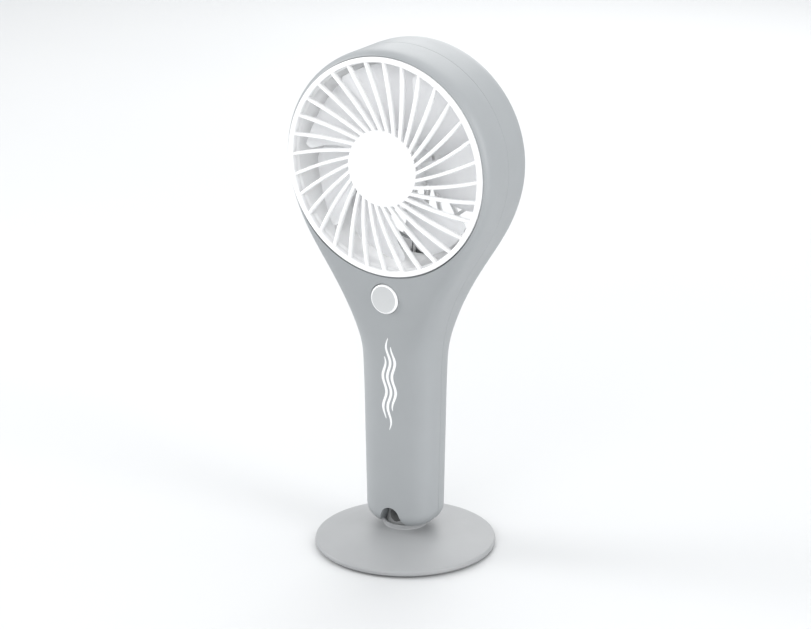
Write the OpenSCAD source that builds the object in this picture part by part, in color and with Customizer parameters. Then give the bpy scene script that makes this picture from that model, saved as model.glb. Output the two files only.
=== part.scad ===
// Handheld fan standing on its detachable round stand.
// +Z is up, the front faces -Y, and the origin is on the floor under the middle of the stand.
// Inside the fan, heights written "h" are measured up from the bottom of the handle.

/* [Head] */
// Outside diameter of the head
head_d = 100; // [99:0.5:102]
// Half of the depth of the head, front to back
head_half = 19; // [19:0.25:20]
// Height of the middle of the head above the bottom of the handle
head_h = 165; // [164:0.5:168]
// Number of swirled ribs in the front grille
rib_count = 32; // [24:1:36]
// Distance by which each swirled rib misses the middle of the head
rib_miss = 8.5; // [7:0.5:10]
// Number of impeller blades
blade_count = 7; // [5:1:8]

/* [Handle] */
// Half of the width of the handle just above its bottom corners
grip_w = 16.8; // [16.8:0.1:17.4]
// Half of the depth of the handle
grip_half = 13.5; // [13.5:0.25:14.5]
// Wall thickness of the two shells
wall = 2; // [1.8:0.1:2]
// Height of the power button above the bottom of the handle
button_h = 107; // [106:0.5:108]
// Diameter of the power button
button_d = 13.2; // [12:0.2:13.4]
// Diameter of the lanyard hole
lanyard_d = 5.4; // [4.6:0.2:5.6]

/* [Stand] */
// Diameter of the stand
stand_d = 80; // [80:1:84]
// Height of the stand, up to the bottom of the handle
stand_h = 12; // [12:0.25:13]
// Diameter of the collar under the handle
collar_d = 19; // [19:0.5:21]

/* [Hidden] */
$fn = 96;

grey = [0.70, 0.715, 0.73];
white = [0.96, 0.96, 0.96];
dark = [0.36, 0.37, 0.38];

// Outline of the two shells
head_r = head_d / 2;
leave_angle = 12;       // the neck leaves the head's circle this far below its middle
neck_pull = 30;         // length of the neck curve's upper handle
grip_pull = 40;         // length of the neck curve's lower handle
grip_top = [18.3, 74];  // half width and height where the neck meets the straight handle
corner_r = 8;           // corner radius of the handle's bottom, seen from the front
sole_r = 6;             // corner radius of the handle's bottom, seen from the side
head_power = 10;        // squareness of the head's edge
grip_power = 2.6;       // squareness of the handle's section
arc_rows = 22;
neck_rows = 13;
grip_rows = 3;
corner_rows = 5;
columns = 24;

// Grille seats and duct
duct_r = 44.5;
duct_wall = 1.5;
liner_way_r = duct_r + duct_wall + 0.1; // radius of the front shell's hole for the liner
ledge_t = 2;            // thickness of the ledge under the front grille
rear_ledge_t = 1.6;     // thickness of the ledge under the rear grille
rear_open_r = 41;       // radius of the opening behind the impeller
seat_r = 47.45;
seat_y = 15.4;          // depth of the front grille's seat
rear_seat_y = 16.2;
ring_t = 3;             // thickness of the front grille's ring
ring_r = 47.3;
rear_seat_r = 43.2;
rear_hub_y = 16.4;      // depth of the inner face of the rear grille
rear_grille_back = 18.8;
spoke_count = 24;
hub_cap_r = 16.5;
hub_top = 4.8;          // height of the front grille's hub and ribs above their seat
rib_t = 1.4;            // thickness of a rib of the front grille
spoke_t = 1.4;          // thickness of a spoke or hoop of the rear grille

// Motor
motor_r = 12.2;
motor_front = 2.4;
motor_back = 13.2;
cup_r = 14;             // outside radius of the cup that holds the motor
shaft_r = 1;
motor_screw_x = 7;      // the motor's two screws stand this far to either side of the shaft

// Battery
cell_r = 7.1;
cell_x = 7.15;
tray_low = 15;
tray_high = 71.8;
door_low = 15.2;
door_high = 74;
door_half = 14.6;
door_gap = 0.25;
plate_t = 0.4;          // thickness of a contact plate
cell_length = 50.5;

// Bosses that hold the shells together, as [x, height, reach from the parting plane]
bosses = [[22.5, 117, 17], [-22.5, 117, 17], [11.5, 9.5, 7.6], [-11.5, 9.5, 7.6]];
boss_r = 2.6;
board_y = 0.6;
board_t = 1.6;
usb_h = 98;
hole_h = 4;             // height of the lanyard hole

function mix(a, b, t) = a + (b - a) * t;
function smooth(t) = let (u = min(1, max(0, t))) u * u * (3 - 2 * u);

// Points of the outline, moved inwards by off: [half width, height]
function arc_row(a, off) =
    [(head_r - off) * cos(a), head_h + (head_r - off) * sin(a)];
function neck_handles() = let (a = arc_row(-leave_angle, 0)) [
    a,
    a - neck_pull * [sin(leave_angle), cos(leave_angle)],
    grip_top + [0.8, grip_pull],
    grip_top];
function neck_point(t) = let (p = neck_handles(), s = 1 - t)
    s*s*s * p[0] + 3*s*s*t * p[1] + 3*s*t*t * p[2] + t*t*t * p[3];
function neck_slope(t) = let (p = neck_handles(), s = 1 - t)
    s*s * (p[1] - p[0]) + 2*s*t * (p[2] - p[1]) + t*t * (p[3] - p[2]);
function neck_row(t, off) = let (d = neck_slope(t)) neck_point(t) - off * [-d[1], d[0]] / norm(d);
function grip_row(t, off) =
    [mix(grip_top[0], grip_w, t) - off, mix(grip_top[1], corner_r, t)];
function corner_row(a, off) =
    [grip_w - corner_r + (corner_r - off) * cos(a), corner_r + (corner_r - off) * sin(a)];
function outline(off) = concat(
    [for (k = [1:arc_rows]) arc_row(90 - (90 + leave_angle) * pow(k / arc_rows, 1.5), off)],
    [for (k = [1:neck_rows]) neck_row(k / neck_rows, off)],
    [for (k = [1:grip_rows]) grip_row(k / grip_rows, off)],
    [for (k = [1:corner_rows]) corner_row(-90 * k / corner_rows, off)]);

// Half depth and squareness of the section at a height
function half_depth(h) = mix(grip_half, head_half, smooth((h - 60) / 75));
function squareness(h) = mix(grip_power, head_power, smooth((h - 78) / 60));
function sole_cut(h) = h >= sole_r ? 0 : sole_r - sqrt(max(0, sole_r*sole_r - pow(sole_r - h, 2)));
function bulge(u, n) = pow(max(0, 1 - pow(min(1, abs(u)), n)), 1 / n);

// Depth of the skin at a share u of the half width w, at height h
function skin(u, w, h, off) = let (
    d = half_depth(h) - off - sole_cut(h - off),
    r = norm([w * u, h - head_h]) / (head_r - off),
    t = smooth((h - head_h) / (head_r * sin(leave_angle)) + 1))
    d * mix(bulge(u, squareness(h)), bulge(r, head_power), t);
function spread(j) = let (s = sin(180 * j / columns - 90)) sign(s) * sqrt(abs(s));
function skin_points(off) = let (rows = outline(off)) concat(
    [[0, 0, head_h + head_r - off]],
    [for (p = rows) for (j = [0:columns])
        [p[0] * spread(j), j % columns == 0 ? 0 : -skin(spread(j), p[0], p[1], off), p[1]]]);

// Front half of the hollow casing, open at the back along the plane y = 0
module half_casing() {
    n = len(outline(0));
    m = columns;
    base = 1 + n * (m + 1);
    function at(i, j) = 1 + i * (m + 1) + j;
    function in(i, j) = base + at(i, j);
    function two(a, b, c, d) = [[a, b, c], [a, c, d]];
    faces = concat(
        [for (j = [0:m-1]) [0, at(0, j+1), at(0, j)]],
        [for (j = [0:m-1]) [base, in(0, j), in(0, j+1)]],
        [for (i = [0:n-2]) for (j = [0:m-1])
            each two(at(i, j), at(i, j+1), at(i+1, j+1), at(i+1, j))],
        [for (i = [0:n-2]) for (j = [0:m-1])
            each two(in(i, j), in(i+1, j), in(i+1, j+1), in(i, j+1))],
        [for (i = [0:n-2]) each two(at(i, 0), at(i+1, 0), in(i+1, 0), in(i, 0))],
        [for (i = [0:n-2]) each two(in(i, m), in(i+1, m), at(i+1, m), at(i, m))],
        two(0, at(0, 0), in(0, 0), base),
        two(base, in(0, m), at(0, m), 0),
        two(at(n-1, 0), at(n-1, m), in(n-1, m), in(n-1, 0)),
        [[for (j = [0:m]) at(n-1, j)], [for (j = [m:-1:0]) in(n-1, j)]]);
    polyhedron(points = concat(skin_points(0), skin_points(wall)), faces = faces);
}

// A cylinder that runs along Y from y0 to y1
module along_y(r, y0, y1) {
    translate([0, y0, 0]) rotate([-90, 0, 0]) cylinder(r = r, h = y1 - y0);
}
module tube_y(r_out, r_in, y0, y1) {
    difference() {
        along_y(r_out, y0, y1);
        along_y(r_in, y0 - 1, y1 + 1);
    }
}
// A box given by its low and high corners
module block(low, high) {
    translate(low) cube(high - low);
}
module at_fan() { translate([0, 0, stand_h]) children(); }
module at_head() { translate([0, 0, stand_h + head_h]) children(); }
module at_button() { translate([0, 0, stand_h + button_h]) children(); }

// Arch-shaped notch in the bottom of the handle, grown by e
module arch(e) {
    translate([0, 4.6]) circle(r = 4.6 + e);
    polygon([[-7.5 - e, -1], [7.5 + e, -1], [4.35 + e, 6], [-4.35 - e, 6]]);
}
module arch_y(e, y0, y1) {
    translate([0, y1, 0]) rotate([90, 0, 0]) linear_extrude(height = y1 - y0) arch(e);
}
// Walls of the notch, stepped in where the bottom of the handle is rounded
module notch_walls() {
    for (s = [[0, 1.5, 6.3], [1.5, 4, 9.4], [4, 11, 11.3]])
        intersection() {
            arch_y(1.5, 0, s[2]);
            block([-10, -1, s[0]], [10, 20, s[1] + 0.01]);
        }
}

// Round tube along a path, for wires and springs; ref is never along the path
module swept_tube(path, r, sides, ref) {
    n = len(path);
    function dir(i) = let (d = path[min(n-1, i+1)] - path[max(0, i-1)]) d / norm(d);
    function side(i) = let (c = cross(dir(i), ref)) c / norm(c);
    pts = [for (i = [0:n-1]) let (a = side(i), b = cross(dir(i), a))
        for (k = [0:sides-1]) path[i] + r * (cos(360*k/sides) * a + sin(360*k/sides) * b)];
    faces = concat(
        [[for (k = [0:sides-1]) k]],
        [for (i = [0:n-2]) for (k = [0:sides-1]) let (q = (k+1) % sides)
            each [[i*sides+k, (i+1)*sides+k, (i+1)*sides+q], [i*sides+k, (i+1)*sides+q, i*sides+q]]],
        [[for (k = [sides-1:-1:0]) (n-1)*sides + k]]);
    polyhedron(points = pts, faces = faces);
}

module pan_screw(head_r, head_t, r, length) {
    cylinder(r = head_r, h = head_t);
    translate([0, 0, head_t]) cylinder(r = r, h = length);
}

// ---- casing -------------------------------------------------------------

module front_shell() color(grey) at_fan() {
    difference() {
        union() {
            half_casing();
            translate([0, 0, head_h])
                tube_y(head_r - wall, liner_way_r, -seat_y, -seat_y + ledge_t);
            translate([0, 0, button_h]) tube_y(button_d/2 + 1.7, button_d/2 + 0.2, -16.2, -11);
            for (b = bosses) translate([b[0], 0, b[1]]) along_y(boss_r, -b[2], 0);
            mirror([0, 1, 0]) notch_walls();
        }
        translate([0, 0, head_h]) {
            along_y(seat_r, -30, -seat_y);
            along_y(liner_way_r, -30, 1);
        }
        translate([0, 0, button_h]) along_y(button_d/2 + 0.2, -30, -10);
        for (b = bosses) translate([b[0], 0, b[1]]) along_y(0.85, -8, 1);
        arch_y(0, -30, 1);
    }
}

module rear_shell() color(grey) at_fan() {
    difference() {
        union() {
            mirror([0, 1, 0]) half_casing();
            translate([0, 0, head_h])
                tube_y(duct_r + duct_wall, rear_open_r, rear_seat_y - rear_ledge_t, rear_seat_y);
            for (b = bosses) translate([b[0], 0, b[1]]) along_y(boss_r + 0.9, 0, b[2]);
            for (x = [-8.5, 8.5]) for (z = [93, 113])
                translate([x, 0, z]) along_y(1.5, board_y + board_t, half_depth(z) - 1.2);
            notch_walls();
        }
        translate([0, 0, head_h]) {
            along_y(rear_seat_r, rear_seat_y, 30);
            along_y(rear_open_r, -1, 30);
        }
        for (b = bosses) translate([b[0], 0, b[1]]) {
            along_y(1.15, -1, 10);
            along_y(2.3, 5, 30);
        }
        block([-door_half, 3, door_low], [door_half, 30, door_high]);
        translate([0, 0, usb_h]) usb_slot(4.7, 1.85, 8, 30);
        arch_y(0, -1, 30);
    }
}

// Slot with round ends, along Y
module usb_slot(half_w, half_h, y0, y1) {
    for (x = [-1, 1]) translate([x * (half_w - half_h), 0, 0]) along_y(half_h, y0, y1);
    block([-(half_w - half_h), y0, -half_h], [half_w - half_h, y1, half_h]);
}

// One straight rib on edge; its front edge rises towards the hub
module swirl_rib() {
    inner = 9;
    outer = 45.6;
    translate([rib_miss, -seat_y, 0]) rotate([0, -90, 0]) translate([0, 0, -rib_t / 2])
        linear_extrude(height = rib_t)
            polygon([[inner, -2.8], [inner, -hub_top], [24, -4.4], [34, -3.7], [outer, -2.6],
                [outer, -0.7], [34, -1.4], [24, -2.2]]);
}
module front_grille() color(white) at_head() {
    tube_y(ring_r, 45.1, -seat_y - ring_t, -seat_y);
    tube_y(ring_r - 0.6, 45.6, -seat_y - ring_t - 0.4, -seat_y - ring_t);
    for (k = [0:rib_count-1]) rotate([0, 360 * k / rib_count, 0]) swirl_rib();
    along_y(hub_cap_r, -seat_y - hub_top, -seat_y - 2.6);
    along_y(hub_cap_r - 1.2, -seat_y - hub_top - 0.5, -seat_y - hub_top);
}

module rear_grille() color(white) at_head() {
    tube_y(rear_seat_r - 0.2, rear_seat_r - 2.8, rear_seat_y, rear_grille_back);
    for (r = [21.5, 31])
        tube_y(r + spoke_t / 2, r - spoke_t / 2, rear_hub_y, rear_grille_back - 0.4);
    for (k = [0:spoke_count-1]) rotate([0, 360 * k / spoke_count, 0])
        block([-spoke_t / 2, rear_hub_y, cup_r - 1],
            [spoke_t / 2, rear_grille_back - 0.4, rear_seat_r - 2]);
    along_y(cup_r, rear_hub_y, rear_grille_back);
}

// White ring around the impeller, held between the front grille and the rear shell's ledge
module duct_liner() color(white) at_head() difference() {
    tube_y(duct_r + duct_wall, duct_r, -seat_y, rear_seat_y - rear_ledge_t);
    block([-5, 9.5, -duct_r - 5], [5, rear_seat_y, -duct_r + 5]);
}

module lanyard_anchor() color(dark) at_fan() difference() {
    translate([0, 1.9, 0]) rotate([90, 0, 0]) linear_extrude(height = 3.8) {
        intersection() {
            arch(-0.02);
            translate([-10, 0.4]) square([20, 12]);
        }
    }
    translate([0, 0, hole_h]) along_y(lanyard_d/2, -3, 3);
}

module shell_screws() color("silver") at_fan()
    for (b = bosses) translate([b[0], 5, b[1]]) rotate([90, 0, 0]) {
        translate([0, 0, -1.6]) difference() {
            cylinder(r = 2, h = 1.6);
            for (a = [0, 90]) rotate([0, 0, a]) block([-1.3, -0.25, -1], [1.3, 0.25, 0.8]);
        }
        cylinder(r = 0.85, h = 11);
    }

// ---- motor --------------------------------------------------------------

module motor_can() color("lightsteelblue") at_head() difference() {
    along_y(motor_r, motor_front, motor_back);
    along_y(motor_r - 0.8, motor_front + 0.8, motor_back + 1);
    along_y(3, motor_front - 1, motor_back);
    for (x = [-1, 1] * motor_screw_x)
        translate([x, 0, 0]) along_y(0.8, motor_front - 1, motor_front + 1);
}
module motor_end_cap() color(dark) at_head() difference() {
    along_y(motor_r, motor_back, motor_back + 1.6);
    along_y(2.2, motor_back - 1, motor_back + 3);
}
module motor_magnets() color("dimgray") at_head()
    for (s = [0, 180]) rotate([0, s, 0]) intersection() {
        tube_y(motor_r - 0.8, motor_r - 3, motor_front + 1.2, motor_back - 0.6);
        block([0, 0, -8], [15, 20, 8]);
    }
module motor_bushes() color("goldenrod") at_head() {
    tube_y(3, shaft_r + 0.02, motor_front - 0.6, motor_front + 1.4);
    tube_y(2.2, shaft_r + 0.02, motor_back, motor_back + 1.9);
}
module motor_terminals() color("goldenrod") at_head()
    for (x = [-4.5, 4.5]) block([x - 1, motor_back + 1.6, -9.5], [x + 1, motor_back + 2, -5]);
// Cup that holds the motor; its rim stands on the inner face of the rear grille
module motor_cup() color(white) at_head() difference() {
    along_y(cup_r, 1, rear_hub_y);
    along_y(motor_r + 0.15, motor_front, rear_hub_y + 1);
    along_y(3.2, 0, 3);
    for (x = [-1, 1] * motor_screw_x) translate([x, 0, 0]) along_y(0.8, 0, 3);
    block([-5.5, 13.4, -16], [5.5, rear_hub_y + 1, -10]);
}
module motor_screws() color("silver") at_head()
    for (x = [-1, 1] * motor_screw_x)
        translate([x, 0.2, 0]) rotate([-90, 0, 0]) pan_screw(1.6, 0.8, 0.8, 2);
module motor_shaft() color("silver") at_head() along_y(shaft_r, -10.5, 15.5);
module armature() color("chocolate") at_head() {
    tube_y(3, shaft_r, motor_front + 1.6, 10.8);
    for (k = [0:4]) rotate([0, 72 * k, 0]) {
        block([-1, motor_front + 2, 2.5], [1, 10.4, 8]);
        intersection() {
            tube_y(8.6, 7.4, motor_front + 2, 10.4);
            block([-3.6, 0, 0], [3.6, 20, 12]);
        }
    }
}
module commutator() color("peru") at_head() tube_y(2.4, shaft_r, 10.9, 12.9);

// Two white leads from the board, up behind the impeller, to the motor
module motor_wires() color("whitesmoke") at_fan() for (s = [-1, 1])
    swept_tube([[3*s, 2.8, 112], [3*s, 5, 113.5], [3*s, 9, 115.5], [3*s, 12.4, 119],
        [3*s, 12.9, 124], [3*s, 13, 132], [3*s, 13.4, 142], [3.6*s, 14.4, 149],
        [4.2*s, 15.7, 153], [4.5*s, 15.8, 156]], 0.6, 8, [1, 0, 0]);

// ---- impeller -----------------------------------------------------------

blade_steps = 7;
blade_r0 = 13;
blade_r1 = 42.3;
blade_t = 1.3;
// A point of a blade: q runs from root to tip, c from leading to trailing edge
function blade_point(q, c, side) = let (
    r = mix(blade_r0, blade_r1, q),
    a = mix(-25, 25, c) - 14 * q * q,
    y = mix(-12.2, -1.4 - 2 * q, c) + 1.6 * sin(180 * c) + side * blade_t / 2)
    [r * sin(a), y, r * cos(a)];
module blade() {
    n = blade_steps;
    w = n + 1;
    function id(i, j, s) = s * w * w + i * w + j;
    pts = [for (s = [-1, 1]) for (i = [0:n]) for (j = [0:n]) blade_point(i / n, j / n, s)];
    faces = concat(
        [for (i = [0:n-1]) for (j = [0:n-1]) each [
            [id(i,j,0), id(i+1,j,0), id(i+1,j+1,0)], [id(i,j,0), id(i+1,j+1,0), id(i,j+1,0)],
            [id(i,j,1), id(i+1,j+1,1), id(i+1,j,1)], [id(i,j,1), id(i,j+1,1), id(i+1,j+1,1)]]],
        [for (i = [0:n-1]) each [
            [id(i,0,0), id(i,0,1), id(i+1,0,1)], [id(i,0,0), id(i+1,0,1), id(i+1,0,0)],
            [id(i,n,0), id(i+1,n,1), id(i,n,1)], [id(i,n,0), id(i+1,n,0), id(i+1,n,1)],
            [id(0,i,0), id(0,i+1,1), id(0,i,1)], [id(0,i,0), id(0,i+1,0), id(0,i+1,1)],
            [id(n,i,0), id(n,i,1), id(n,i+1,1)], [id(n,i,0), id(n,i+1,1), id(n,i+1,0)]]]);
    polyhedron(points = pts, faces = faces);
}
module impeller() color(white) at_head() difference() {
    union() {
        difference() {
            along_y(cup_r, -13, -0.8);
            along_y(12.6, -11.6, 0);
        }
        along_y(3, -12, -0.8);
        for (k = [0:blade_count-1]) rotate([0, 360 * k / blade_count, 0]) blade();
    }
    along_y(shaft_r, -10.5, 0);
}

// ---- button and electronics ----------------------------------------------

module power_button() color([0.9, 0.9, 0.9]) at_button() {
    along_y(button_d/2 - 0.6, -18.2, -17.5);
    along_y(button_d/2, -17.6, -13);
    along_y(button_d/2 + 0.8, -10.6, -9.6);
    along_y(button_d/2 - 0.5, -13.2, -10.2);
    along_y(1.8, -10, -4.6);
}
module circuit_board() color("darkgreen") at_fan()
    block([-11, board_y, 90], [11, board_y + board_t, 116]);
module tact_switch() color("black") at_button() {
    block([-3, -2.9, -3], [3, board_y, 3]);
    along_y(1.75, -3.9, -2.8);
}
module board_chips() color("#222222") at_fan() {
    block([-9, board_y - 1.5, 93], [-4, board_y, 97]);
    block([3, board_y - 2, 92], [8, board_y, 98]);
    for (z = [101, 103.5]) block([-9.5, board_y - 0.6, z], [-7.5, board_y, z + 1.2]);
    translate([7, board_y, 113]) rotate([90, 0, 0]) cylinder(r = 2, h = 5);
    for (x = [5.5, 8]) block([x, board_y - 0.6, 101], [x + 1.2, board_y, 103]);
}
module usb_socket() color("silver") at_fan() translate([0, 0, usb_h]) {
    difference() {
        usb_slot(4.47, 1.63, board_y + board_t, half_depth(usb_h) - 0.5);
        usb_slot(4.17, 1.33, board_y + board_t + 5, 30);
    }
    block([-3.35, board_y + board_t + 4.5, -0.35], [3.35, half_depth(usb_h) - 1.4, 0.35]);
}

// ---- battery --------------------------------------------------------------

module battery_tray() color(grey) at_fan() difference() {
    union() {
        translate([0, 0, tray_low - 1.8]) linear_extrude(height = tray_high - tray_low + 3.4)
            polygon([[14, -3], [14, -4.3], [12.4, -7.1], [9.8, -9],
                [-9.8, -9], [-12.4, -7.1], [-14, -4.3], [-14, -3]]);
        block([-12.8, -8, tray_low - 1.8], [12.8, 5.5, tray_low]);
        block([-12.8, -8, tray_high], [12.8, 5.5, tray_high + 1.6]);
    }
    for (x = [-cell_x, cell_x])
        translate([x, 0, tray_low]) cylinder(r = cell_r + 0.1, h = tray_high - tray_low);
    block([-3, -4, tray_low], [3, 1, tray_high]);
    for (x = [-5, 5]) block([x - 1, -1, tray_high - 1], [x + 1, 6, tray_high + 2]);
}
// One round cell from its flat end up; flip turns it over
module cell(low, flip) {
    translate([0, 0, low]) mirror([0, 0, flip]) translate([0, 0, flip ? -cell_length : 0]) {
        cylinder(r = cell_r, h = cell_length - 1.2);
        translate([0, 0, cell_length - 1.5]) cylinder(r = 2.7, h = 1.5);
    }
}
module battery_cells() color("royalblue") at_fan() {
    translate([-cell_x, 0, 0]) cell(20.9, 0);
    translate([cell_x, 0, 0]) cell(tray_low + plate_t, 1);
}
spring_turns = 4;
// Cone-shaped contact spring, wide at the bottom when grow is true
module spring(low, high, grow) {
    n = spring_turns * 14;
    path = [for (i = [0:n]) let (
        a = 360 * spring_turns * i / n,
        r = mix(4, 2.6, grow ? i/n : 1 - i/n))
        [r * cos(a), r * sin(a), mix(low, high, i / n)]];
    swept_tube(path, 0.35, 6, [0, 0, 1]);
}
module contact_springs() color("silver") at_fan() {
    translate([-cell_x, 0, 0]) spring(tray_low + 0.75, 20.55, true);
    translate([cell_x, 0, 0]) spring(66.25, tray_high - 0.75, false);
}
module contact_plates() color("silver") at_fan() {
    block([-12, -3.4, tray_low], [12, 4.5, tray_low + plate_t]);
    for (s = [-1, 1]) {
        block([cell_x*s - 4, -3.4, tray_high - plate_t], [cell_x*s + 4, 4.5, tray_high]);
        block([5*s - 0.8, 3.6, tray_high - plate_t], [5*s + 0.8, 4.4, tray_high + 3]);
    }
}
module battery_wires() color("black") at_fan() for (s = [-1, 1])
    swept_tube([[5*s, 4.9, tray_high + 2.6], [5*s, 5.4, 79], [5*s, 5.2, 84], [4.5*s, 4.2, 89],
        [4.2*s, 3.6, 93]], 0.55, 8, [1, 0, 0]);

// Curved lid in the back of the handle; its lower edge is on the hinge line
door_cols = 14;
door_rows = 6;
function door_w(h) = mix(grip_w, grip_top[0], (h - corner_r) / (grip_top[1] - corner_r));
module door_panel() {
    n = door_rows;
    m = door_cols;
    half = door_half - door_gap;
    function id(i, j, s) = (s * (n + 1) + i) * (m + 1) + j;
    pts = [for (s = [0, 1]) for (i = [0:n]) for (j = [0:m]) let (
        x = half * sin(180 * j / m - 90),
        h = mix(door_low + door_gap, door_high - door_gap, i / n),
        y = skin(x / door_w(h), door_w(h), h, 0))
        [x, s == 0 ? y : min(y - 1.5, y * 0.88), h]];
    function two(a, b, c, d) = [[a, b, c], [a, c, d]];
    faces = concat(
        [for (i = [0:n-1]) for (j = [0:m-1])
            each two(id(i,j,0), id(i,j+1,0), id(i+1,j+1,0), id(i+1,j,0))],
        [for (i = [0:n-1]) for (j = [0:m-1])
            each two(id(i,j,1), id(i+1,j,1), id(i+1,j+1,1), id(i,j+1,1))],
        [for (i = [0:n-1]) each two(id(i,0,1), id(i,0,0), id(i+1,0,0), id(i+1,0,1))],
        [for (i = [0:n-1]) each two(id(i,m,0), id(i,m,1), id(i+1,m,1), id(i+1,m,0))],
        [for (j = [0:m-1]) each two(id(0,j,1), id(0,j+1,1), id(0,j+1,0), id(0,j,0))],
        [for (j = [0:m-1]) each two(id(n,j,0), id(n,j+1,0), id(n,j+1,1), id(n,j,1))]);
    polyhedron(points = pts, faces = faces);
}
module battery_door() color(grey) at_fan() {
    difference() {
        door_panel();
        for (k = [0:3]) block([-4, 13.1, 66.5 - 1.8*k], [4, 20, 67.3 - 1.8*k]);
    }
    for (x = [-4.5, 4.5]) {
        block([x - 1.5, 9.3, door_low + 0.3], [x + 1.5, 12.2, door_low + 2.6]);
        block([x - 1.5, 9.3, door_low - 1.2], [x + 1.5, 10.6, door_low + 1]);
    }
    block([-3, 10.2, door_high - 3], [3, 12.4, door_high - 0.4]);
}
module cell_pad() color("black") at_fan() block([-3, 6.4, 36], [3, 11.8, 52]);

// ---- stand -----------------------------------------------------------------

dome_top = 10.2;
dome_r = 117.8;
collar_z = stand_h - 0.1;
cover_z = 1.2;
cover_t = 1.2;
cover_screw_r = 20;
rim_w = 5.7;            // width of the rim around the cover
foot_r = 4.5;
foot_ring_r = 28;       // the four feet stand on a ring of this radius
plug_r = 8.3;           // radius of the spigot's lower end
plug_z = 9.5;           // height of the bottom of the socket for the spigot
// Section of the domed stand, moved inwards by inset and cut off at base
module stand_profile(r, inset, base) {
    intersection() {
        translate([0, dome_top - dome_r]) circle(r = dome_r - inset, $fn = 360);
        translate([0, base]) square([r, 20]);
    }
}
module stand_base() color(grey) difference() {
    union() {
        rotate_extrude() difference() {
            stand_profile(stand_d/2, 0, 1);
            stand_profile(stand_d/2 - rim_w, 2.2, 0);
        }
        translate([0, 0, 4.2]) cylinder(r = collar_d/2, h = collar_z - 4.2);
        for (a = [0:120:240]) rotate([0, 0, a]) translate([cover_screw_r, 0, cover_z + cover_t])
            cylinder(r = 2.8, h = 5);
    }
    translate([0, 0, plug_z]) cylinder(r = plug_r + 0.05, h = 5);
    translate([0, 0, 1]) cylinder(r = 3.6, h = 10);
    for (a = [0:120:240]) rotate([0, 0, a]) translate([cover_screw_r, 0, 1]) cylinder(r = 1, h = 4.4);
}
// Plug that fills the notch in the handle on both sides of the lanyard anchor
module stand_spigot() color(dark) difference() {
    union() {
        translate([0, 0, plug_z]) cylinder(r = plug_r, h = collar_z - plug_z);
        translate([0, 0, 4.6]) cylinder(r = 3.5, h = 5);
        intersection() {
            at_fan() arch_y(-0.35, -9, 9);
            translate([0, 0, collar_z - 0.3]) cylinder(r = plug_r, h = 12);
        }
    }
    block([-9, -2.2, stand_h + 0.1], [9, 2.2, stand_h + 12]);
    at_fan() translate([0, 0, hole_h]) along_y(3.2, -10, 10);
    cylinder(r = 1.2, h = 10.5);
}
module spigot_screw() color("silver") {
    difference() {
        translate([0, 0, 3]) cylinder(r = 5, h = 1.2);
        for (a = [0, 90]) rotate([0, 0, a]) block([-2, -0.4, 2], [2, 0.4, 3.5]);
    }
    translate([0, 0, 4.1]) cylinder(r = 1.2, h = 6);
}
module stand_weight() color("dimgray") difference() {
    translate([0, 0, 2.5]) cylinder(r = 30, h = 1.4);
    translate([0, 0, 1]) cylinder(r = 12, h = 5);
    for (a = [0:120:240]) rotate([0, 0, a]) translate([cover_screw_r, 0, 1]) cylinder(r = 3.3, h = 5);
}
module stand_cover() color(dark) difference() {
    translate([0, 0, cover_z]) cylinder(r = stand_d/2 - rim_w - 0.2, h = cover_t);
    for (a = [0:120:240]) rotate([0, 0, a]) translate([cover_screw_r, 0, 0]) cylinder(r = 1.2, h = 4);
}
module stand_feet() color("black")
    for (a = [45:90:315])
        rotate([0, 0, a]) translate([foot_ring_r, 0, 0]) cylinder(r = foot_r, h = cover_z);
module cover_screws() color("silver")
    for (a = [0:120:240]) rotate([0, 0, a]) translate([cover_screw_r, 0, 0.4]) pan_screw(2.2, 0.8, 1, 4);

front_shell();
rear_shell();
front_grille();
rear_grille();
duct_liner();
lanyard_anchor();
motor_can();
motor_end_cap();
motor_magnets();
motor_bushes();
motor_terminals();
motor_cup();
motor_screws();
motor_wires();
circuit_board();
board_chips();
tact_switch();
usb_socket();
battery_tray();
battery_cells();
contact_springs();
contact_plates();
battery_wires();
shell_screws();
impeller();
motor_shaft();
armature();
commutator();
power_button();
battery_door();
cell_pad();
stand_base();
stand_spigot();
stand_weight();
stand_cover();
stand_feet();
spigot_screw();
cover_screws();
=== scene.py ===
"""Looks of the handheld fan on its round stand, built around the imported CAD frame.

Sizes are worked out in millimetres in the fan's own coordinates: h is the height above the bottom of
the handle, and y is measured from the parting plane of the two shells, with the front at -y.
"""
import math

import bmesh
import bpy
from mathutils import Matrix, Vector


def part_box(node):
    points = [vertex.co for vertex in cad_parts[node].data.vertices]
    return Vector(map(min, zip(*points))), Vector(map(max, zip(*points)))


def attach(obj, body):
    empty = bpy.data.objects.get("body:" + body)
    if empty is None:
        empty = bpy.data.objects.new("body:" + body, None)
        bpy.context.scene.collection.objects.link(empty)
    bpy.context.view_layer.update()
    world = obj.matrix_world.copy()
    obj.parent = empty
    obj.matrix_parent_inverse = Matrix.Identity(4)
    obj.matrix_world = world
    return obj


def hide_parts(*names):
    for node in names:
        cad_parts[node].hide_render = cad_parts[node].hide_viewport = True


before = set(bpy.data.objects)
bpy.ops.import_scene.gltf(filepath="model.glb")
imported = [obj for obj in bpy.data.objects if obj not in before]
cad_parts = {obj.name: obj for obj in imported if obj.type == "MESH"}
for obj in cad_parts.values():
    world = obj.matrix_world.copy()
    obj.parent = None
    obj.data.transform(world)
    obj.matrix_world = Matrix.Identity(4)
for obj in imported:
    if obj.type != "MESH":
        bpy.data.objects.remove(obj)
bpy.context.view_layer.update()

# ---- driving dimensions, in millimetres ----

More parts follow.
